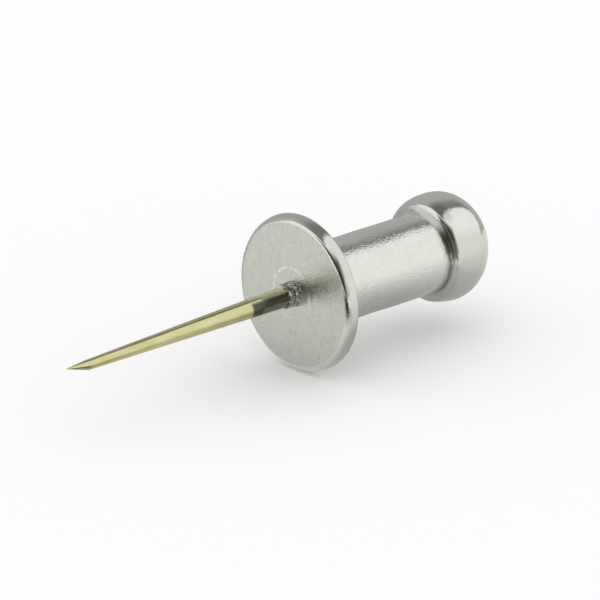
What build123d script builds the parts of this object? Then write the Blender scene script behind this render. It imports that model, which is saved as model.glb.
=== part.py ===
from build123d import *
from math import radians, tan
import os

# A push pin: a one-piece aluminium head, staked around a tapered steel needle.
# The pin's axis is X. The origin is the centre of the flange's flat seat face.
# The needle points towards -X, the knob towards +X, and Z is up, as on a wall board.
# All sizes are in millimetres.

# Needle
needle_reach = 15.9  # seat face to the tip
needle_diameter = 1.12  # in the head, and where it leaves the collar
point_foot_diameter = 0.56  # where the slow taper turns into the ground point
point_length = 1.35  # foot of the ground point to the tip
tip_diameter = 0.05  # the small blunt end of the point
shank_depth = 8.0  # how far the needle goes into the head
shank_chamfer = 0.15  # lead-in at the needle's inner end

# Flange, a flat seat face with a crisp edge and a crowned rim
flange_diameter = 8.5
flange_thickness = 0.72
crown_height = 0.27  # how far the rim's widest circle stands out from the edge of the seat face
crown_length = 0.6  # seat face to the rim's widest circle
face_edge_round = 0.12
flange_back_round = 0.1

# Barrel between the flange and the knob, flared a little at the knob
barrel_diameter = 4.4
barrel_root_round = 0.3
flare_rise = 0.12
flare_length = 0.75

# Knob, a bulge with a flat shoulder towards the barrel and a dome at the free end
shoulder_position = 9.31  # seat face to the flat shoulder
shoulder_width = 0.35  # crease at the barrel to the lip
lip_round = 0.35
knob_bulge = 0.25  # how far the widest circle stands out from the lip
knob_position = 10.66  # seat face to the knob's widest circle
dome_length = 2.2  # widest circle to the end of the dome

# Staked joint between the head and the needle
collar_height = 0.8
collar_mouth_wall = 0.06
collar_base_wall = 0.13
stake_ring_diameter = 2.8
stake_ring_width = 0.18
stake_ring_depth = 0.06
bore_end_gap = 0.3  # air left behind the needle's inner end
drill_point_angle = 118

# Sizes that follow from those above
needle_radius = needle_diameter / 2
point_foot_position = point_length - needle_reach
flange_radius = flange_diameter / 2
face_edge_radius = flange_radius - crown_height
barrel_radius = barrel_diameter / 2
flare_start = shoulder_position - flare_length
crease_radius = barrel_radius + flare_rise
lip_radius = crease_radius + shoulder_width
knob_radius = lip_radius + knob_bulge
head_length = knob_position + dome_length
bore_depth = shank_depth + bore_end_gap
drill_point_length = needle_radius / tan(radians(drill_point_angle / 2))

# Corners of the head's section that are rounded, as (axial position, radius, round)
rounded_corners = [
    (0, face_edge_radius, face_edge_round),
    (flange_thickness, flange_radius, flange_back_round),
    (flange_thickness, barrel_radius, barrel_root_round),
    (shoulder_position, lip_radius, lip_round),
]

os.makedirs("parts", exist_ok=True)

# Head: flange, barrel, knob and collar turned from one piece
with BuildPart() as head:
    with BuildSketch(Plane.XY) as head_section:
        with BuildLine():
            EllipticalCenterArc((knob_position, 0), dome_length, knob_radius, arc_size=90)
            TangentArc((knob_position, knob_radius), (shoulder_position, lip_radius), tangent=(-1, 0))
            Line((shoulder_position, lip_radius), (shoulder_position, crease_radius))
            TangentArc((flare_start, barrel_radius), (shoulder_position, crease_radius), tangent=(1, 0))
            Polyline(
                (flare_start, barrel_radius),
                (flange_thickness, barrel_radius),
                (flange_thickness, flange_radius),
                (crown_length, flange_radius),
            )
            TangentArc((crown_length, flange_radius), (0, face_edge_radius), tangent=(-1, 0))
            Polyline(
                (0, face_edge_radius),
                (0, needle_radius + collar_base_wall),
                (-collar_height, needle_radius + collar_mouth_wall),
                (-collar_height, 0),
                (head_length, 0),
            )
        make_face()
        for position, radius, corner_round in rounded_corners:
            corner = head_section.vertices().sort_by_distance((position, radius))[0]
            fillet(corner, radius=corner_round)
    revolve(axis=Axis.X)

    # Blind bore for the needle, with the cone that a drill leaves
    with BuildSketch(Plane.XY):
        with BuildLine():
            Polyline(
                (-collar_height, 0),
                (-collar_height, needle_radius),
                (bore_depth, needle_radius),
                (bore_depth + drill_point_length, 0),
                close=True,
            )
        make_face()
    revolve(axis=Axis.X, mode=Mode.SUBTRACT)

    # Ring that the staking tool pressed into the seat face
    with BuildSketch(Plane.XY):
        with BuildLine():
            Polyline(
                (0, (stake_ring_diameter - stake_ring_width) / 2),
                (stake_ring_depth, stake_ring_diameter / 2),
                (0, (stake_ring_diameter + stake_ring_width) / 2),
                close=True,
            )
        make_face()
    revolve(axis=Axis.X, mode=Mode.SUBTRACT)

head.part.label = "head"
export_step(head.part, "parts/head.step")

# Needle: straight shank inside the head, slow taper outside it, and a ground point
with BuildPart() as needle:
    with BuildSketch(Plane.XY):
        with BuildLine():
            Polyline(
                (shank_depth, 0),
                (shank_depth, needle_radius - shank_chamfer),
                (shank_depth - shank_chamfer, needle_radius),
                (-collar_height, needle_radius),
                (point_foot_position, point_foot_diameter / 2),
                (-needle_reach, tip_diameter / 2),
                (-needle_reach, 0),
                close=True,
            )
        make_face()
    revolve(axis=Axis.X)

needle.part.label = "needle"
export_step(needle.part, "parts/needle.step")
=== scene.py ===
import math

import bpy
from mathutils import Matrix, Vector, noise


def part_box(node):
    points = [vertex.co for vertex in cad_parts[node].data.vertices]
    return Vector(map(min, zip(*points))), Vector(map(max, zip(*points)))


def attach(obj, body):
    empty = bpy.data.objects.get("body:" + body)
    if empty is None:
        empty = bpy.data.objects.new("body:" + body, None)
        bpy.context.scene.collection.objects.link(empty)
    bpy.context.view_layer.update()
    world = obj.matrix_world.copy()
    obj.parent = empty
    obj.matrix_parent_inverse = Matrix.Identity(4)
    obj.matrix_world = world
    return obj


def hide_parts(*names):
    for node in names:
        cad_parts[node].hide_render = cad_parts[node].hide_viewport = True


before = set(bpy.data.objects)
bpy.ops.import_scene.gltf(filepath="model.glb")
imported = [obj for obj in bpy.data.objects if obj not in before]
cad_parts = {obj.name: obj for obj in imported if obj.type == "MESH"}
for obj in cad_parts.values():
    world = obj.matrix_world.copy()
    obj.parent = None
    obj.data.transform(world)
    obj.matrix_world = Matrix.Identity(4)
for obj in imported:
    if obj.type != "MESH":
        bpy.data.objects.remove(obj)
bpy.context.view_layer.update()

# The pin's axis is X, the flange's seat face is at x = 0 and the needle points to -X.
MM = 0.001
AXIS = Vector((1, 0, 0))
head_low, head_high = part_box("head")
needle_low, needle_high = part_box("needle")

# Sizes that the frame gives
FLANGE_RADIUS = head_high.y
HEAD_LENGTH = head_high.x
COLLAR_HEIGHT = -head_low.x
NEEDLE_RADIUS = needle_high.y
NEEDLE_REACH = -needle_low.x
SHANK_DEPTH = needle_high.x
FLOOR_GAP = 0.005 * MM
FLOOR_HEIGHT = head_low.z - FLOOR_GAP

# Sizes of the turned profile. The barrel runs straight into the shoulder, as in the photograph.
FLANGE_THICKNESS = 0.72 * MM
CROWN_HEIGHT = 0.27 * MM
CROWN_LENGTH = 0.6 * MM
FACE_RADIUS = FLANGE_RADIUS - CROWN_HEIGHT
FACE_EDGE_CUT = 0.09 * MM  # how far from its corner the face's edge starts to round
FLANGE_BACK_ROUND = 0.1 * MM
BARREL_RADIUS = 2.2 * MM
BARREL_ROOT_ROUND = 0.3 * MM
SHOULDER_POSITION = 9.31 * MM
LIP_RADIUS = 2.67 * MM
LIP_CUT = 0.28 * MM  # how far from its corner the lip starts to round
KNOB_BULGE = 0.25 * MM
KNOB_POSITION = 10.66 * MM
COLLAR_MOUTH_WALL = 0.06 * MM
COLLAR_BASE_WALL = 0.13 * MM
STAKE_RING_RADIUS = 1.4 * MM
STAKE_RING_WIDTH = 0.18 * MM
STAKE_RING_DEPTH = 0.06 * MM
STAKE_RING_CENTRE = (0.1 * MM, 0.05 * MM)  # y and z, a little off the axis
BORE_DEPTH = 8.3 * MM
DRILL_POINT_LENGTH = 0.336 * MM
POINT_LENGTH = 1.35 * MM
POINT_FOOT_RADIUS = 0.28 * MM
TIP_RADIUS = 0.025 * MM
SHANK_CHAMFER = 0.15 * MM

# Fineness of the meshes: pitch along straight lines, steps along curves and segments around the axis
HEAD_PITCH = 0.07 * MM
HEAD_SEGMENTS = 360
CROWN_STEPS = 40
FACE_EDGE_STEPS = 8
FLANGE_BACK_STEPS = 8
BARREL_ROOT_STEPS = 12
LIP_STEPS = 24
KNOB_SIDE_STEPS = 60
DOME_STEPS = 48
NEEDLE_PITCH = 0.1 * MM
NEEDLE_SEGMENTS = 96
SAME_POINT = 1e-7  # points of an outline that are closer than this are one point
SHARP_ANGLE = 30  # edges that turn by more degrees than this stay crisp

# Camera, from the pin's outline in the photograph
IMAGE_SIZE = 600
FACE_CENTRE_PIXEL = (293.3, 294.7)
PIXEL = 0.0522 * MM
CAMERA_DISTANCE = 520 * MM
CAMERA_AZIMUTH = -43.2
CAMERA_ELEVATION = 20.2
CAMERA_CLIP = (0.01, 20)
SENSOR = 36.0

# The pin in the photograph isn't quite true. Its needle leans and its point is ground from below.
NEEDLE_RISE = 0.059 * MM
NEEDLE_LEAN = 0.0164  # rise per length along the axis
LEAN_DEPTH = 1 * MM  # how far into the head the lean dies out
LEAN_CORE = 0.8 * MM  # radius of the face that moves with the needle
LEAN_EDGE = 1.8 * MM  # radius of the face that stays in place
POINT_RISE = 0.15 * MM

# Its knob sits high and at a slant, and the upper side of the barrel swells to meet it.
KNOB_LIFT = 0.047 * MM
KNOB_SLANT = -0.09  # rise per length along the axis
SLANT_LENGTH = 0.5 * MM  # over which the lip takes up the slant
LIFTED_RADIUS = LIP_RADIUS - 0.1 * MM  # radius of the shoulder that is lifted as far as the knob
CREASE_MARGIN = 0.03 * MM
SWELL_RISE = 0.2 * MM
SWELL_LENGTH = 0.6 * MM
SWELL_START = 1.7 * MM  # height on the barrel where the swell starts
SWELL_FULL = 2.25 * MM

# Waviness of the surfaces, as depth, width of a wave and seed
COLLAR_TEARS = (0.035 * MM, 0.16 * MM, 5.1)
COLLAR_GRAIN = (0.02 * MM, 0.07 * MM, 3.7)
FACE_WAVES = (0.0015 * MM, 0.5 * MM, 1.3)
RIM_WAVES = (0.004 * MM, 1.4 * MM, 2.9)
BARREL_WAVES = (0.03 * MM, 1.7 * MM, 6.7)
BARREL_GRAIN = (0.002 * MM, 0.4 * MM, 4.1)
KNOB_WAVES = (0.006 * MM, 1.8 * MM, 9.2)
NEEDLE_WAVES = (0.003 * MM, 0.8 * MM, 7.7)
RING_BREAKS = (1.0, 0.9 * MM, 8.3)
RING_BREAK_BIAS = 0.25  # more of it leaves more of the stake ring
RING_DEPTH_SHARE = 0.4
CALM_LENGTH = 1.2 * MM  # the barrel's waves die out over this length before the shoulder
SKIN = 0.01 * MM  # tells the surfaces of the head apart
NEEDLE_END_MARGIN = 0.05 * MM


def arc(centre, radii, start, end, steps):
    """Points (x, r) on an ellipse from one angle to another, in degrees."""
    points = []
    for step in range(steps + 1):
        angle = math.radians(start + (end - start) * step / steps)
        points.append((centre[0] + radii[0] * math.cos(angle), centre[1] + radii[1] * math.sin(angle)))
    return points


def run(start, end, pitch):
    """Points (x, r) along a straight line, about one pitch apart."""
    steps = max(1, round(math.dist(start, end) / pitch))
    return [tuple(a + (b - a) * step / steps for a, b in zip(start, end)) for step in range(steps + 1)]


def level_arc(crest, foot, steps):
    """Points (x, r) on the circle that lies level at its crest and runs to the foot."""
    length, height = foot[0] - crest[0], foot[1] - crest[1]
    radius = (length ** 2 + height ** 2) / (2 * height)
    sweep = math.degrees(math.asin(length / radius))
    return arc((crest[0], crest[1] + radius), (radius, radius), -90, -90 + sweep, steps)


def rounded(outline, corner, cut, steps):
    """The outline with its corner cut back by about the given length and bridged by a curve."""
    index = min(range(len(outline)), key=lambda i: math.dist(outline[i], corner))
    first, last = index, index
    while math.dist(outline[first], corner) < cut:
        first -= 1
    while math.dist(outline[last], corner) < cut:
        last += 1
    bridge = []
    for step in range(1, steps):
        share = step / steps
        weights = ((1 - share) ** 2, 2 * share * (1 - share), share ** 2)
        ends = (outline[first], corner, outline[last])
        bridge.append(tuple(sum(w * p[axis] for w, p in zip(weights, ends)) for axis in (0, 1)))
    return outline[:first + 1] + bridge + outline[last:]


def joined(*stretches):
    """One outline from several stretches, without the doubled end points."""
    outline = list(stretches[0])
    for stretch in stretches[1:]:
        outline += [point for point in stretch if math.dist(point, outline[-1]) > SAME_POINT]
    return outline


def clamped(share):
    """The share, held between 0 and 1."""
    return min(1.0, max(0.0, share))


def eased(value, low, high):
    """A smooth step from 0 to 1 between two values."""
    share = clamped((value - low) / (high - low))
    return share * share * (3 - 2 * share)


def direction(azimuth, elevation):
    """From the pin: azimuth 0 is -Y, and a negative azimuth is towards -X."""
    azimuth, elevation = math.radians(azimuth), math.radians(elevation)
    flat = math.cos(elevation)
    return Vector((math.sin(azimuth) * flat, -math.cos(azimuth) * flat, math.sin(elevation)))


# The direction square to the pin's axis that points up in the picture
UPRIGHT = direction(CAMERA_AZIMUTH, CAMERA_ELEVATION).cross(AXIS).normalized()


def askew(point):
    """Moves a point of the true turned pin to where it is on the pin in the photograph."""
    radius = math.hypot(point.y, point.z)
    height = point.dot(UPRIGHT)
    near_needle = (1 - eased(point.x, 0, LEAN_DEPTH)) * (1 - eased(radius, LEAN_CORE, LEAN_EDGE))
    on_knob = clamped((radius - BARREL_RADIUS) / (LIFTED_RADIUS - BARREL_RADIUS))
    if height < 0:
        on_lip = eased(point.x, SHOULDER_POSITION, SHOULDER_POSITION + SLANT_LENGTH)
    else:
        from_flat = radius - (LIP_RADIUS - LIP_CUT) + point.x - SHOULDER_POSITION
        on_lip = clamped(from_flat / SLANT_LENGTH)
    if point.x > KNOB_POSITION:
        on_knob, on_lip = 1.0, 1.0
    if point.x < SHOULDER_POSITION - CREASE_MARGIN:
        on_knob, on_lip = 0.0, 0.0
    swell = eased(point.x, SHOULDER_POSITION - SWELL_LENGTH, SHOULDER_POSITION)
    swell *= eased(height, SWELL_START, SWELL_FULL)
    rise = near_needle * (NEEDLE_RISE + NEEDLE_LEAN * min(0.0, point.x))
    rise += POINT_RISE * max(0.0, 1 - (NEEDLE_REACH + point.x) / POINT_LENGTH)
    rise += on_knob * (KNOB_LIFT + KNOB_SLANT * (point.x - KNOB_POSITION))
    rise += (1 - on_knob) * swell * SWELL_RISE
    shift = -on_lip * KNOB_SLANT * height
    return point + UPRIGHT * rise + AXIS * shift


def placed(name, vertices, faces):
    """An object in the scene with the given mesh."""
    mesh = bpy.data.meshes.new(name)
    mesh.from_pydata(vertices, [], faces)
    mesh.update()
    piece = bpy.data.objects.new(name, mesh)
    bpy.context.scene.collection.objects.link(piece)
    return piece


def turned(name, outline, segments, marks):
    """A closed solid turned about X. Its outline starts and ends on the axis.

    marks(point) says how far the surface lies off the turned shape.
    """
    vertices = [askew(AXIS * outline[0][0])]
    rings = len(outline) - 2
    for before, (x, radius), after in zip(outline, outline[1:], outline[2:]):
        along, out = after[0] - before[0], after[1] - before[1]
        for segment in range(segments):
            angle = 2 * math.pi * segment / segments
            spoke = Vector((0, math.cos(angle), math.sin(angle)))
            point = spoke * radius + AXIS * x
            normal = (spoke * along - AXIS * out).normalized()
            vertices.append(askew(point + normal * marks(point)))
    vertices.append(askew(AXIS * outline[-1][0]))
    last = len(vertices) - 1
    faces = []
    for segment in range(segments):
        following = (segment + 1) % segments
        faces.append((0, 1 + following, 1 + segment))
        for ring in range(rings - 1):
            here = 1 + ring * segments
            there = here + segments
            faces.append((here + segment, here + following, there + following, there + segment))
        end = 1 + (rings - 1) * segments
        faces.append((end + segment, end + following, last))
    piece = placed(name, vertices, faces)
    piece.data.shade_smooth()
    piece.data.set_sharp_from_angle(angle=math.radians(SHARP_ANGLE))
    return piece


def head_outline():
    """From the bottom of the bore out to the collar, over the face and the rim to the end of the dome."""
    crease = (SHOULDER_POSITION, BARREL_RADIUS)
    lip = (SHOULDER_POSITION, LIP_RADIUS)
    crest = (KNOB_POSITION, LIP_RADIUS + KNOB_BULGE)
    face_edge = (0, FACE_RADIUS)
    collar_foot = (0, NEEDLE_RADIUS + COLLAR_BASE_WALL)
    collar_mouth = (-COLLAR_HEIGHT, NEEDLE_RADIUS + COLLAR_MOUTH_WALL)
    back_edge = (FLANGE_THICKNESS - FLANGE_BACK_ROUND, FLANGE_RADIUS - FLANGE_BACK_ROUND)
    root = (FLANGE_THICKNESS + BARREL_ROOT_ROUND, BARREL_RADIUS + BARREL_ROOT_ROUND)
    outline = joined(
        [(BORE_DEPTH + DRILL_POINT_LENGTH, 0), (BORE_DEPTH, NEEDLE_RADIUS)],
        [(-COLLAR_HEIGHT, NEEDLE_RADIUS)],
        run(collar_mouth, collar_foot, HEAD_PITCH / 2),
        run(collar_foot, face_edge, HEAD_PITCH),
        level_arc((CROWN_LENGTH, FLANGE_RADIUS), face_edge, CROWN_STEPS)[::-1],
        arc(back_edge, (FLANGE_BACK_ROUND, FLANGE_BACK_ROUND), 90, 0, FLANGE_BACK_STEPS),
        run((FLANGE_THICKNESS, back_edge[1]), (FLANGE_THICKNESS, root[1]), HEAD_PITCH),
        arc(root, (BARREL_ROOT_ROUND, BARREL_ROOT_ROUND), 180, 270, BARREL_ROOT_STEPS),
        run((root[0], BARREL_RADIUS), crease, HEAD_PITCH),
        run(crease, lip, HEAD_PITCH / 4),
        level_arc(crest, lip, KNOB_SIDE_STEPS)[::-1],
        arc((KNOB_POSITION, 0), (HEAD_LENGTH - KNOB_POSITION, crest[1]), 90, 0, DOME_STEPS),
    )
    outline = rounded(outline, face_edge, FACE_EDGE_CUT, FACE_EDGE_STEPS)
    return rounded(outline, lip, LIP_CUT, LIP_STEPS)


def needle_outline():
    """From the tip over the ground point and the slow taper to the end of the shank."""
    foot = (POINT_LENGTH - NEEDLE_REACH, POINT_FOOT_RADIUS)
    return joined(
        [(-NEEDLE_REACH, 0)],
        run((-NEEDLE_REACH, TIP_RADIUS), foot, NEEDLE_PITCH),
        run(foot, (-COLLAR_HEIGHT, NEEDLE_RADIUS), NEEDLE_PITCH),
        [(SHANK_DEPTH - SHANK_CHAMFER, NEEDLE_RADIUS)],
        [(SHANK_DEPTH, NEEDLE_RADIUS - SHANK_CHAMFER)],
        [(SHANK_DEPTH, 0)],
    )


def wave(point, depth, width, seed):
    """Smooth noise, as deep as given to either side, with bumps about as wide as given."""
    return depth * noise.noise(point / width + Vector((seed, 2 * seed, 3 * seed)))


def head_marks(point):
    """Waviness of the turned head, the broken stake ring and the torn collar."""
    radius = math.hypot(point.y, point.z)
    if radius < NEEDLE_RADIUS + SKIN:
        return 0.0
    if point.x < -SKIN:
        return wave(point, *COLLAR_TEARS) + wave(point, *COLLAR_GRAIN)
    if point.x < SKIN:
        off_centre = math.dist((point.y, point.z), STAKE_RING_CENTRE)
        across = (off_centre - STAKE_RING_RADIUS) / (STAKE_RING_WIDTH / 2)
        pressed = max(0.0, wave(point, *RING_BREAKS) + RING_BREAK_BIAS) * math.exp(-across ** 2)
        return wave(point, *FACE_WAVES) - RING_DEPTH_SHARE * STAKE_RING_DEPTH * pressed
    if point.x < FLANGE_THICKNESS:
        return wave(point, *RIM_WAVES)
    if point.x < SHOULDER_POSITION:
        calm = eased(SHOULDER_POSITION - point.x, 0, CALM_LENGTH)
        return calm * (wave(point, *BARREL_WAVES) + wave(point, *BARREL_GRAIN))
    return wave(point, *KNOB_WAVES)


def needle_marks(point):
    """Slight waviness of the drawn and ground wire, outside the head only."""
    if point.x > -COLLAR_HEIGHT - NEEDLE_END_MARGIN or point.x < -NEEDLE_REACH + NEEDLE_END_MARGIN:
        return 0.0
    return wave(point, *NEEDLE_WAVES)


def grey(level):
    return (level, level, level)


def opaque(colour):
    """A plain colour with its alpha. A link stays as it is."""
    return (*colour, 1) if isinstance(colour, tuple) else colour


class Nodes:
    """A short way to write a material's node tree."""

    def __init__(self, name):
        self.material = bpy.data.materials.new(name)
        self.material.use_nodes = True
        self.tree = self.material.node_tree

    def add(self, kind, **settings):
        node = self.tree.nodes.new("ShaderNode" + kind)
        for key, value in settings.items():
            setattr(node, key, value)
        return node

    def feed(self, socket, source):
        """Links a node's output to the socket, or writes a plain value on it."""
        if isinstance(source, bpy.types.NodeSocket):
            self.tree.links.new(source, socket)
        else:
            socket.default_value = source

    def shaded(self, **inputs):
        """Feeds the material's shader. An underscore in a name stands for a space."""
        shader = self.tree.nodes["Principled BSDF"]
        for name, source in inputs.items():
            self.feed(shader.inputs[name.replace("_", " ")], source)
        return self.material

    def noise(self, vector, per_mm, detail, rough):
        node = self.add("TexNoise")
        self.feed(node.inputs["Vector"], vector)
        self.feed(node.inputs["Scale"], per_mm / MM)
        self.feed(node.inputs["Detail"], detail)
        self.feed(node.inputs["Roughness"], rough)
        return node.outputs["Fac"]

    def stretched(self, vector, scale):
        node = self.add("Mapping", vector_type="POINT")
        self.feed(node.inputs["Vector"], vector)
        self.feed(node.inputs["Scale"], scale)
        return node.outputs["Vector"]

    def combined(self, x, y):
        node = self.add("CombineXYZ")
        self.feed(node.inputs["X"], x)
        self.feed(node.inputs["Y"], y)
        return node.outputs["Vector"]

    def ranged(self, value, low, high, to_low, to_high):
        """A smooth step from one result to another between two values."""
        node = self.add("MapRange", interpolation_type="SMOOTHSTEP")
        for socket, source in zip(node.inputs, (value, low, high, to_low, to_high)):
            self.feed(socket, source)
        return node.outputs["Result"]

    def rising(self, value, start, full, strength=1.0):
        return self.ranged(value, start, full, 0.0, strength)

    def falling(self, value, fade, end, strength=1.0):
        return self.ranged(value, fade, end, strength, 0.0)

    def between(self, value, start, full, fade, end, strength=1.0):
        """The strength within a zone and 0 outside it, with soft ends."""
        return self.product(self.rising(value, start, full, strength), self.falling(value, fade, end))

    def maths(self, operation, *values):
        node = self.add("Math", operation=operation)
        for socket, source in zip(node.inputs, values):
            self.feed(socket, source)
        return node.outputs["Value"]

    def product(self, first, *others):
        for other in others:
            first = self.maths("MULTIPLY", first, other)
        return first

    def measured(self, operation, vector, other):
        """A number from two vectors."""
        node = self.add("VectorMath", operation=operation)
        self.feed(node.inputs[0], vector)
        self.feed(node.inputs[1], other)
        return node.outputs["Value"]

    def dot(self, vector, axis):
        return self.measured("DOT_PRODUCT", vector, axis)

    def distance(self, vector, place):
        return self.measured("DISTANCE", vector, place)

    def blend(self, share, first, second):
        """A colour between two colours."""
        node = self.add("Mix", data_type="RGBA")
        factor, _, _, _, _, _, first_colour, second_colour = node.inputs[:8]
        self.feed(factor, share)
        self.feed(first_colour, opaque(first))
        self.feed(second_colour, opaque(second))
        return node.outputs[2]

    def weighed(self, share, first, second):
        """A number between two numbers."""
        node = self.add("Mix", data_type="FLOAT")
        factor, _, first_number, second_number = node.inputs[:4]
        self.feed(factor, share)
        self.feed(first_number, first)
        self.feed(second_number, second)
        return node.outputs[0]

    def ramp(self, value, stops):
        """A colour from a list of places between 0 and 1 and their colours."""
        node = self.add("ValToRGB")
        while len(node.color_ramp.elements) < len(stops):
            node.color_ramp.elements.new(0.5)
        for element, (position, colour) in zip(node.color_ramp.elements, stops):
            element.position = position
            element.color = opaque(colour)
        self.feed(node.inputs["Fac"], value)
        return node.outputs["Color"]

    def bump(self, height, distance):
        node = self.add("Bump")
        self.feed(node.inputs["Height"], height)
        self.feed(node.inputs["Distance"], distance)
        self.feed(node.inputs["Strength"], 1.0)
        return node.outputs["Normal"]


# Noises of the metal, as scale per millimetre, detail and roughness, and the range they mostly keep to
CLOUD = (0.8, 3.0, 0.6)
MOTTLE = (2.2, 4.0, 0.65)
FLECK = (4.5, 2.0, 0.7)
SPECK = (10.0, 1.0, 0.6)
NEEDLE_LINES = (5.0, 3.0, 0.6)
NEEDLE_CLOUD = (1.8, 3.0, 0.6)
NOISE_RANGE = (0.3, 0.7)

# Colours of the head. A list runs along a noise, from its low values to its high ones.
BRIGHT_METAL = [(0.3, (0.72, 0.74, 0.67)), (0.5, (0.76, 0.775, 0.71)), (0.7, (0.79, 0.80, 0.74))]
DULL_METAL = [(0.3, (0.59, 0.61, 0.53)), (0.5, (0.63, 0.65, 0.57)), (0.7, (0.66, 0.675, 0.605))]
TORN_METAL = [(0.44, (0.22, 0.23, 0.21)), (0.65, (0.80, 0.82, 0.78))]
LIGHT_FLECK_COLOUR = (0.86, 0.87, 0.82)
DARK_FLECK_COLOUR = (0.36, 0.37, 0.32)
# Painted highlight on the broken stake ring
STAKE_RING_HIGHLIGHT_COLOUR = (0.90, 0.91, 0.86)
# Painted shade on the knob's lower side
LOWER_KNOB_SHADE_COLOUR = (0.60, 0.62, 0.55)
SHOULDER_COLOUR = (0.69, 0.71, 0.672)
# Painted shade in the crease between barrel and knob
CREASE_SHADE_COLOUR = (0.28, 0.29, 0.25)
WORN_LIP_COLOUR = (0.60, 0.61, 0.55)
# Painted shade on the lip's upper side
UPPER_LIP_SHADE_COLOUR = (0.52, 0.54, 0.49)
# Painted shade: a dark line on the shoulder just outside the crease
LIP_EDGE_SHADE_COLOUR = (0.21, 0.215, 0.19)
RIM_COLOUR = (0.67, 0.685, 0.615)
# Painted shade: a dark line along the seat face's edge on its lower near side
FACE_EDGE_SHADE_COLOUR = (0.16, 0.165, 0.14)
# Painted shade along the rim's back edge
RIM_BACK_SHADE_COLOUR = (0.38, 0.39, 0.35)

# Zones of the head in millimetres. Four numbers say where a zone starts, is full, begins to fade
# and ends. Two say where it only starts or only ends. A number after them is its strength.
FACE_MARGIN = 0.096  # how far inside its corner the dull face ends
FACE_DEPTH = (0.0, 0.03)
FACE_END = (-0.02, 0.02)
COLLAR_FOOT = (-0.06, -0.02)
STAKE_RING_ZONE = (0.02, 0.09)
STAKE_RING_HEIGHTS = (0.0, 0.9)
STAKE_RING_HIGHLIGHT_SHARES = (0.15, 1.0)  # below and above
LOWER_KNOB_START = (0.0, 0.3)
LOWER_KNOB_HEIGHTS = (-0.1, 0.7, 0.7)
SHOULDER_ZONE = (-0.02, -0.01, 0.02, 0.05)
# Painted shade in the crease between barrel and knob
CREASE_SHADE_ZONE = (0.03, 0.16, 0.45)
CREASE_SHADE_HEIGHTS = (0.2, 1.2)
WORN_LIP_STRENGTH = 0.8
WORN_LIP_ZONE = (-0.02, 0.0, 0.05, 0.3, WORN_LIP_STRENGTH)
WORN_LIP_HEIGHTS = (-1.1, -0.5, 0.5, 1.3)
UPPER_LIP_ZONE = (-0.1, -0.03, 0.3, 0.6, 0.85)
UPPER_LIP_HEIGHTS = (0.9, 1.5, 2.0, 2.5)
LIP_EDGE_RADII = (2.35, 2.40, 0.8)
LIP_EDGE_START = (-0.03, -0.02)
LIP_EDGE_END = (0.06, 0.1)
LIP_EDGE_HEIGHTS = (-1.0, -0.5, 0.6, 1.2)
RIM_START = (0.1, 0.25)
RIM_END = (0.0, 0.05)
FACE_EDGE_DEPTH = (0.05, 0.16, 0.5)
FACE_EDGE_START = (0.0, 0.04)
FACE_EDGE_HEIGHTS = (-2.6, -1.4, -0.4, 0.6)
FACE_EDGE_SIDE = (1.0, 2.0)
RIM_BACK_START = (-0.12, -0.04, 0.7)
RIM_BACK_RADII = (-0.14, -0.1)

# Values of the fleck noise where flecks and the stake ring's painted highlight show, and how strongly
LIGHT_FLECKS = (0.65, 0.72, 0.7)
DARK_FLECKS = (0.36, 0.29, 0.5)
STAKE_RING_HIGHLIGHT_FLECKS = (0.45, 0.58)

# Roughness of the head, from the clouds' low values to their high ones
SATIN = (0.10, 0.15)
MATT = (0.25, 0.31)
SHOULDER_SHARE = 0.4  # of the satin's roughness is left on the shoulder
WORN_LIP_ROUGHNESS = 0.18  # that the worn lip adds

# Grain of the head. A pair is for the rest of the head and for the seat face.
GRAIN_DEPTHS = (0.010 * MM, 0.014 * MM)
SPECK_SHARES = (0.3, 1.2)
BARREL_SPECK_START = (0.0, 0.2, 1.7)
BARREL_SPECK_END = (-0.5, 0.0)
LIP_GRAIN_SHARE = 0.25
LIP_GRAIN_START = (-0.02, -0.01)
LIP_GRAIN_END = (0.25, 0.4)


class HeadNodes(Nodes):
    """The head's node tree, with its noises and with where a point lies, in millimetres."""

    def __init__(self, name):
        super().__init__(name)
        place = self.add("TexCoord").outputs["Object"]
        self.cloud = self.noise(place, *CLOUD)
        self.mottle = self.noise(place, *MOTTLE)
        self.fleck = self.noise(place, *FLECK)
        self.speck = self.noise(place, *SPECK)

        # Along the axis, also counted from the flange's back, the shoulder and the slanted lip
        self.along = self.dot(place, AXIS / MM)
        self.past_flange = self.maths("SUBTRACT", self.along, FLANGE_THICKNESS / MM)
        self.past_shoulder = self.maths("SUBTRACT", self.along, SHOULDER_POSITION / MM)
        self.height = self.dot(place, UPRIGHT / MM)
        slant = self.product(self.maths("MAXIMUM", self.height, 0.0), KNOB_SLANT)
        self.past_lip = self.maths("ADD", self.past_shoulder, slant)

        # Across the axis, also counted from the end of the dull face and from the rim
        self.near_side = self.dot(place, Vector((0, -1 / MM, 0)))
        across = self.stretched(place, (0, 1 / MM, 1 / MM))
        self.radius = self.distance(across, (0, 0, 0))
        self.past_face = self.maths("SUBTRACT", self.radius, FACE_RADIUS / MM - FACE_MARGIN)
        self.past_rim = self.maths("SUBTRACT", self.radius, FLANGE_RADIUS / MM)

        # Away from the crease between barrel and knob, and from the stake ring
        section = self.combined(self.past_shoulder, self.radius)
        self.off_crease = self.distance(section, (0, BARREL_RADIUS / MM, 0))
        ring_centre = (0, *(offset / MM for offset in STAKE_RING_CENTRE))
        past_ring = self.maths("SUBTRACT", self.distance(across, ring_centre), STAKE_RING_RADIUS / MM)
        self.off_ring = self.maths("ABSOLUTE", past_ring)

        # Zones that more than one of colour, roughness and grain look at
        self.on_face = self.product(
            self.falling(self.along, *FACE_DEPTH),
            self.falling(self.past_face, *FACE_END),
        )
        self.on_shoulder = self.between(self.past_shoulder, *SHOULDER_ZONE)
        self.worn_lip = self.product(
            self.between(self.past_shoulder, *WORN_LIP_ZONE),
            self.between(self.height, *WORN_LIP_HEIGHTS),
        )


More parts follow.
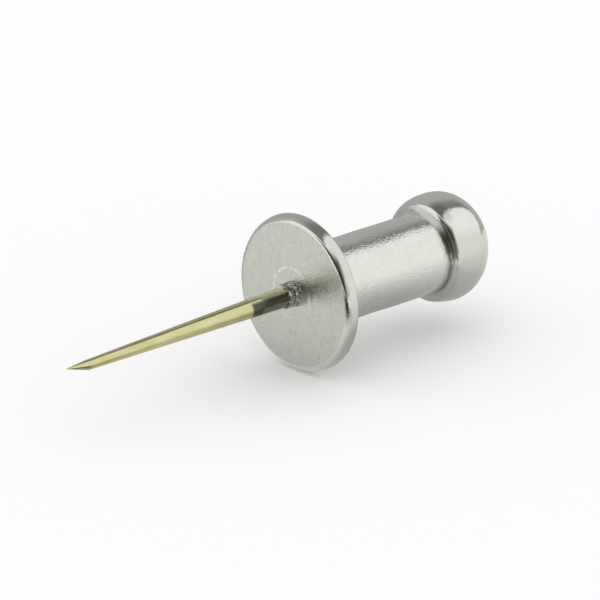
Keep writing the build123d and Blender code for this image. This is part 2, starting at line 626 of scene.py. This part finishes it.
def face_colour(nodes):
    """The dull seat face, with light and dark flecks and a painted highlight on the broken stake ring,
    strongest on its upper side.
    """
    # Painted highlight on the broken stake ring, strongest on its upper side
    ring = nodes.product(
        nodes.falling(nodes.off_ring, *STAKE_RING_ZONE),
        nodes.rising(nodes.fleck, *STAKE_RING_HIGHLIGHT_FLECKS),
        nodes.ranged(nodes.height, *STAKE_RING_HEIGHTS, *STAKE_RING_HIGHLIGHT_SHARES),
    )
    colour = nodes.ramp(nodes.mottle, DULL_METAL)
    colour = nodes.blend(nodes.rising(nodes.fleck, *LIGHT_FLECKS), colour, LIGHT_FLECK_COLOUR)
    colour = nodes.blend(nodes.rising(nodes.fleck, *DARK_FLECKS), colour, DARK_FLECK_COLOUR)
    return nodes.blend(ring, colour, STAKE_RING_HIGHLIGHT_COLOUR)


def turned_colour(nodes):
    """The bright rest of the head, with duller zones, wear and painted shade laid on in turn."""
    # Painted shade on the knob's lower side
    lower_knob_shade = nodes.product(
        nodes.falling(nodes.height, *LOWER_KNOB_HEIGHTS),
        nodes.rising(nodes.past_shoulder, *LOWER_KNOB_START),
    )
    # Painted shade in the crease between barrel and knob, fading out on its upper side
    crease_shade = nodes.product(
        nodes.falling(nodes.off_crease, *CREASE_SHADE_ZONE),
        nodes.falling(nodes.height, *CREASE_SHADE_HEIGHTS),
    )
    # Painted shade on the lip's upper side
    upper_lip_shade = nodes.product(
        nodes.between(nodes.past_lip, *UPPER_LIP_ZONE),
        nodes.between(nodes.height, *UPPER_LIP_HEIGHTS),
    )
    # Painted shade: a dark line on the shoulder just outside the crease
    lip_edge_shade = nodes.product(
        nodes.rising(nodes.radius, *LIP_EDGE_RADII),
        nodes.rising(nodes.past_shoulder, *LIP_EDGE_START),
        nodes.falling(nodes.past_lip, *LIP_EDGE_END),
        nodes.between(nodes.height, *LIP_EDGE_HEIGHTS),
    )
    rim = nodes.product(
        nodes.rising(nodes.along, *RIM_START),
        nodes.falling(nodes.past_flange, *RIM_END),
    )
    # Painted shade: a dark line along the seat face's edge on its lower near side
    face_edge = nodes.product(
        nodes.falling(nodes.along, *FACE_EDGE_DEPTH),
        nodes.rising(nodes.past_face, *FACE_EDGE_START),
        nodes.between(nodes.height, *FACE_EDGE_HEIGHTS),
        nodes.rising(nodes.near_side, *FACE_EDGE_SIDE),
    )
    # Painted shade along the rim's back edge
    rim_back_shade = nodes.product(
        nodes.rising(nodes.past_flange, *RIM_BACK_START),
        nodes.rising(nodes.past_rim, *RIM_BACK_RADII),
    )
    colour = nodes.ramp(nodes.mottle, BRIGHT_METAL)
    for share, layer in [
        (lower_knob_shade, LOWER_KNOB_SHADE_COLOUR),
        (nodes.on_shoulder, SHOULDER_COLOUR),
        (crease_shade, CREASE_SHADE_COLOUR),
        (nodes.worn_lip, WORN_LIP_COLOUR),
        (upper_lip_shade, UPPER_LIP_SHADE_COLOUR),
        (lip_edge_shade, LIP_EDGE_SHADE_COLOUR),
        (rim, RIM_COLOUR),
        (face_edge, FACE_EDGE_SHADE_COLOUR),
        (rim_back_shade, RIM_BACK_SHADE_COLOUR),
    ]:
        colour = nodes.blend(share, colour, layer)
    return colour


def head_roughness(nodes):
    """Satin, but burnished on the shoulder, worn on the lip and matt on the seat face."""
    satin = nodes.ranged(nodes.cloud, *NOISE_RANGE, *SATIN)
    satin = nodes.product(satin, nodes.ranged(nodes.on_shoulder, 0.0, 1.0, 1.0, SHOULDER_SHARE))
    worn = nodes.rising(nodes.worn_lip, 0.0, WORN_LIP_STRENGTH, WORN_LIP_ROUGHNESS)
    matt = nodes.ranged(nodes.cloud, *NOISE_RANGE, *MATT)
    return nodes.weighed(nodes.on_face, nodes.maths("ADD", satin, worn), matt)


def head_grain(nodes):
    """A fine grain, strongest on the barrel and the seat face and weakest around the lip."""
    on_barrel = nodes.product(
        nodes.rising(nodes.past_flange, *BARREL_SPECK_START),
        nodes.falling(nodes.past_shoulder, *BARREL_SPECK_END),
    )
    share = nodes.maths("ADD", on_barrel, nodes.ranged(nodes.on_face, 0.0, 1.0, *SPECK_SHARES))
    grain = nodes.maths("ADD", nodes.mottle, nodes.product(nodes.speck, share))
    before_lip = nodes.ranged(nodes.past_shoulder, *LIP_GRAIN_START, 1.0, LIP_GRAIN_SHARE)
    after_lip = nodes.ranged(nodes.past_shoulder, *LIP_GRAIN_END, LIP_GRAIN_SHARE, 1.0)
    depth = nodes.ranged(nodes.on_face, 0.0, 1.0, *GRAIN_DEPTHS)
    return nodes.bump(grain, nodes.product(depth, nodes.maths("MAXIMUM", before_lip, after_lip)))


def aluminium():
    """Tumbled aluminium: pale, slightly green-yellow, finely mottled, duller on the seat face."""
    nodes = HeadNodes("satin_aluminium")
    colour = nodes.blend(nodes.on_face, turned_colour(nodes), face_colour(nodes))
    torn = nodes.ramp(nodes.fleck, TORN_METAL)
    colour = nodes.blend(nodes.falling(nodes.along, *COLLAR_FOOT), colour, torn)
    return nodes.shaded(
        Base_Color=colour, Metallic=1.0, Roughness=head_roughness(nodes), Normal=head_grain(nodes),
    )


# Colours of the needle
PLATING = [(0.3, (0.61, 0.575, 0.265)), (0.5, (0.66, 0.62, 0.32)), (0.7, (0.71, 0.68, 0.41))]
# Painted shade on the needle's underside
PLATING_UNDERSIDE_SHADE = (0.50, 0.465, 0.23)
# Painted shade at the needle's root, with a painted highlight along its upper side
ROOT_SHADE_COLOURS = [(0.0, (0.075, 0.073, 0.056)), (1.0, (0.22, 0.215, 0.175))]
ROOT_UPPER_HIGHLIGHT = (0.74, 0.715, 0.52)

# Where the painted shade at the needle's root starts, grows lighter and gives way to a painted highlight
# on the upper side, in millimetres, and how far the surface has to face down to take painted shade
ROOT_SHADE_START = (-3.4, -3.2, 0.95)
ROOT_SHADE_LIGHTER = (-2.7, -2.4)
ROOT_UPPER_HIGHLIGHT_SIDE = (0.08, 0.35)
FACING_DOWN = (-0.9, -0.35, 0.8)

# The needle's ground lines
LINES_STRETCH = (0.2, 1.0, 1.0)
CLOUD_STRETCH = (0.4, 1.0, 1.0)
LINES_DEPTH = 0.002 * MM
LINES_ROUGHNESS = (0.10, 0.16)


def plated_steel():
    """Ground steel wire under a thin brass-toned plating, with fine lines along it, painted shade on its
    underside and at its root, and a painted highlight above the root.
    """
    nodes = Nodes("plated_steel")
    place = nodes.add("TexCoord").outputs["Object"]
    lines = nodes.noise(nodes.stretched(place, LINES_STRETCH), *NEEDLE_LINES)
    cloud = nodes.noise(nodes.stretched(place, CLOUD_STRETCH), *NEEDLE_CLOUD)
    along = nodes.dot(place, AXIS / MM)
    height = nodes.dot(place, UPRIGHT / MM)
    facing_up = nodes.dot(nodes.add("NewGeometry").outputs["Normal"], UPRIGHT)
    colour = nodes.ramp(cloud, PLATING)
    # Painted shade on the needle's underside
    colour = nodes.blend(nodes.falling(facing_up, *FACING_DOWN), colour, PLATING_UNDERSIDE_SHADE)
    # Painted shade at the needle's root, with a painted highlight along its upper side
    root_shade = nodes.ramp(nodes.rising(along, *ROOT_SHADE_LIGHTER), ROOT_SHADE_COLOURS)
    root_shade = nodes.blend(nodes.rising(height, *ROOT_UPPER_HIGHLIGHT_SIDE), root_shade, ROOT_UPPER_HIGHLIGHT)
    colour = nodes.blend(nodes.rising(along, *ROOT_SHADE_START), colour, root_shade)
    roughness = nodes.ranged(lines, *NOISE_RANGE, *LINES_ROUGHNESS)
    return nodes.shaded(
        Base_Color=colour, Metallic=1.0, Roughness=roughness, Normal=nodes.bump(lines, LINES_DEPTH),
    )


def sheet(name, corners):
    """A flat sheet with the given corners."""
    return placed(name, corners, [tuple(range(len(corners)))])


def square(half, height):
    """The corners of a level square around the Z axis."""
    return [Vector((x * half, y * half, height)) for x, y in ((-1, -1), (1, -1), (1, 1), (-1, 1))]


def card(name, corners, glow):
    """A flat glowing card that only the metal mirrors. glow(nodes, place) gives its colour."""
    panel = sheet(name, corners)
    nodes = Nodes(name)
    nodes.tree.nodes.remove(nodes.tree.nodes["Principled BSDF"])
    emission = nodes.add("Emission")
    place = nodes.add("NewGeometry").outputs["Position"]
    nodes.feed(emission.inputs["Color"], opaque(glow(nodes, place)))
    nodes.feed(nodes.tree.nodes["Material Output"].inputs["Surface"], emission.outputs[0])
    panel.data.materials.append(nodes.material)
    panel.visible_camera = False
    panel.visible_diffuse = False
    panel.visible_shadow = False
    panel.visible_transmission = False


def camera_flag():
    """The dark side of the studio, around the camera. It fades to the right, upwards and below right."""
    distance = 0.4
    dark, light, below_level = 0.06, 1.0, 0.57
    rightwards_share, downwards_share = 0.885, 0.466
    below_start, below_full = 0.15, 0.20
    towards = direction(CAMERA_AZIMUTH, CAMERA_ELEVATION)
    right = Vector((0, 0, 1)).cross(towards).normalized()
    up = towards.cross(right)
    below_right = right * rightwards_share - up * downwards_share
    left_end, right_start, right_end = (distance * math.tan(math.radians(a)) for a in (-64, 0, 28))
    bottom, top_start, top_end = (distance * math.tan(math.radians(a)) for a in (-30, 14, 44))

    def glow(nodes, place):
        rightwards = nodes.rising(nodes.dot(place, right), right_start, right_end)
        upwards = nodes.rising(nodes.dot(place, up), top_start, top_end)
        share = nodes.maths("MAXIMUM", rightwards, upwards)
        level = nodes.ramp(share, [(0.0, grey(dark)), (1.0, grey(light))])
        below = nodes.rising(nodes.dot(place, below_right), below_start, below_full)
        return nodes.blend(below, level, grey(below_level))

    middle = towards * distance
    card("camera_flag", [
        middle + right * left_end + up * bottom, middle + right * right_end + up * bottom,
        middle + right * right_end + up * top_end, middle + right * left_end + up * top_end,
    ], glow)


def back_canopy():
    """A grey sheet over and behind the pin, darkest along its front edge, and a grey right side."""
    left, right = -0.24, 1.2
    front_left, front_right, back, height = -0.06, 0.155, 0.6, 0.34
    wall_left = -0.45
    side_front, side_height = -0.1, 0.1
    dark, light = 0.22, 0.46
    dark_end, light_start = 0.08, 0.28

    def fading(nodes, place):
        share = nodes.rising(nodes.dot(place, Vector((0, 1, 0))), dark_end, light_start)
        return nodes.ramp(share, [(0.0, grey(dark)), (1.0, grey(light))])

    def even(nodes, place):
        return grey(light)

    card("canopy", [
        Vector((left, front_left, height)), Vector((right, front_right, height)),
        Vector((right, back, height)), Vector((left, back, height)),
    ], fading)
    card("back_wall", [
        Vector((wall_left, back, height)), Vector((right, back, height)),
        Vector((right, back, FLOOR_HEIGHT)), Vector((wall_left, back, FLOOR_HEIGHT)),
    ], fading)
    card("side_wall", [
        Vector((right, 0, FLOOR_HEIGHT)), Vector((right, back, FLOOR_HEIGHT)),
        Vector((right, back, height)), Vector((right, 0, height)),
    ], even)
    card("low_side_wall", [
        Vector((back, side_front, FLOOR_HEIGHT)), Vector((back, 0, FLOOR_HEIGHT)),
        Vector((back, 0, side_height)), Vector((back, side_front, side_height)),
    ], even)


# The floor as the metal mirrors it, in millimetres. A spot is x, y, inner and outer radius. The
# other pairs say where a zone starts and is full, counted along a direction. Levels are greys.
SHEEN_HALF = 590
SHEEN_GAP = 0.002
# Painted shadows of the head on the floor as the metal mirrors it
UNDER_HEAD_SHADOW = (7, 0.5, 0, 40)
UNDER_HEAD_SHADOW_LEVELS = [(0.0, grey(0.36)), (0.06, grey(0.55)), (0.25, grey(0.78)), (1.0, grey(0.95))]
FAR_SHADOW_SPOT = (3, 9.5, 3, 6.5)
FAR_SHADOW_SPOT_LEVEL = 0.43
NEAR_SHADOW_SPOT = (2.5, -5, 1, 5)
NEAR_SHADOW_SPOT_LEVEL = 0.46
BEHIND = (6, 13)
BEHIND_SIDE_AXIS = Vector((1, 0.75, 0))
BEHIND_SIDE = (6.8, 7.3)
BEHIND_LEVEL = 0.46
IN_FRONT = (5, 18)
IN_FRONT_RIGHT_END = (5, 12)
IN_FRONT_LEFT_END = (12, 24)
IN_FRONT_LEVEL = 0.03


def floor_sheen():
    """What the metal mirrors of the floor: painted shadow under, behind and beside the head, grey further
    behind, dark in front of the flag.
    """
    height = FLOOR_HEIGHT + SHEEN_GAP * MM
    towards = direction(CAMERA_AZIMUTH, 0)
    rightwards = Vector((0, 0, 1)).cross(towards)

    def glow(nodes, place):
        def away_from(x, y, inner, outer):
            """0 around a spot on the floor, 1 away from it."""
            return nodes.rising(nodes.distance(place, (x * MM, y * MM, height)), inner * MM, outer * MM)

        def past(axis, start, full):
            """0 on the near side of a line across the floor, 1 beyond it."""
            return nodes.rising(nodes.dot(place, axis), start * MM, full * MM)

        behind = nodes.product(past(Vector((0, 1, 0)), *BEHIND), past(BEHIND_SIDE_AXIS, *BEHIND_SIDE))
        right_end = past(rightwards, *IN_FRONT_RIGHT_END)
        left_end = past(-rightwards, *IN_FRONT_LEFT_END)
        beside = nodes.maths("MAXIMUM", right_end, left_end)
        in_front = nodes.product(past(towards, *IN_FRONT), nodes.maths("SUBTRACT", 1.0, beside))
        # Painted shadows of the head on the floor, under it and in two spots
        level = nodes.ramp(away_from(*UNDER_HEAD_SHADOW), UNDER_HEAD_SHADOW_LEVELS)
        level = nodes.blend(behind, level, grey(BEHIND_LEVEL))
        level = nodes.blend(away_from(*FAR_SHADOW_SPOT), grey(FAR_SHADOW_SPOT_LEVEL), level)
        level = nodes.blend(away_from(*NEAR_SHADOW_SPOT), grey(NEAR_SHADOW_SPOT_LEVEL), level)
        return nodes.blend(in_front, level, grey(IN_FRONT_LEVEL))

    card("floor_sheen", square(SHEEN_HALF * MM, height), glow)


def make_floor():
    """A plain pale floor that takes the pin's shadow."""
    half, level, rough = 3.0, 0.98, 0.9
    floor = sheet("floor", square(half, FLOOR_HEIGHT))
    nodes = Nodes("floor")
    floor.data.materials.append(nodes.shaded(
        Base_Color=opaque(grey(level)), Roughness=rough, Specular_IOR_Level=0.0,
    ))


def make_camera():
    """A camera that sees the pin as the photograph does."""
    back = direction(CAMERA_AZIMUTH, CAMERA_ELEVATION)
    turn = (-back).to_track_quat("-Z", "Y")
    right = turn @ Vector((1, 0, 0))
    up = turn @ Vector((0, 1, 0))
    aim = right * (IMAGE_SIZE / 2 - FACE_CENTRE_PIXEL[0]) * PIXEL
    aim += up * (FACE_CENTRE_PIXEL[1] - IMAGE_SIZE / 2) * PIXEL
    data = bpy.data.cameras.new("camera")
    data.sensor_width = SENSOR
    data.lens = SENSOR * CAMERA_DISTANCE / (IMAGE_SIZE * PIXEL)
    data.clip_start, data.clip_end = CAMERA_CLIP
    camera = bpy.data.objects.new("camera", data)
    bpy.context.scene.collection.objects.link(camera)
    camera.location = aim + back * CAMERA_DISTANCE
    camera.rotation_mode = "QUATERNION"
    camera.rotation_quaternion = turn
    bpy.context.scene.camera = camera


def make_world():
    """An even white studio."""
    world = bpy.data.worlds.new("studio")
    world.use_nodes = True
    background = world.node_tree.nodes["Background"]
    background.inputs["Color"].default_value = (1, 1, 1, 1)
    background.inputs["Strength"].default_value = 1.0
    bpy.context.scene.world = world
    bpy.context.scene.view_settings.view_transform = "Standard"


head = turned("pin_head", head_outline(), HEAD_SEGMENTS, head_marks)
head.data.materials.append(aluminium())
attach(head, "root")
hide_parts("head")

needle = turned("pin_needle", needle_outline(), NEEDLE_SEGMENTS, needle_marks)
needle.data.materials.append(plated_steel())
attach(needle, "root")
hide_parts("needle")

make_floor()
make_camera()
camera_flag()
back_canopy()
floor_sheen()
make_world()
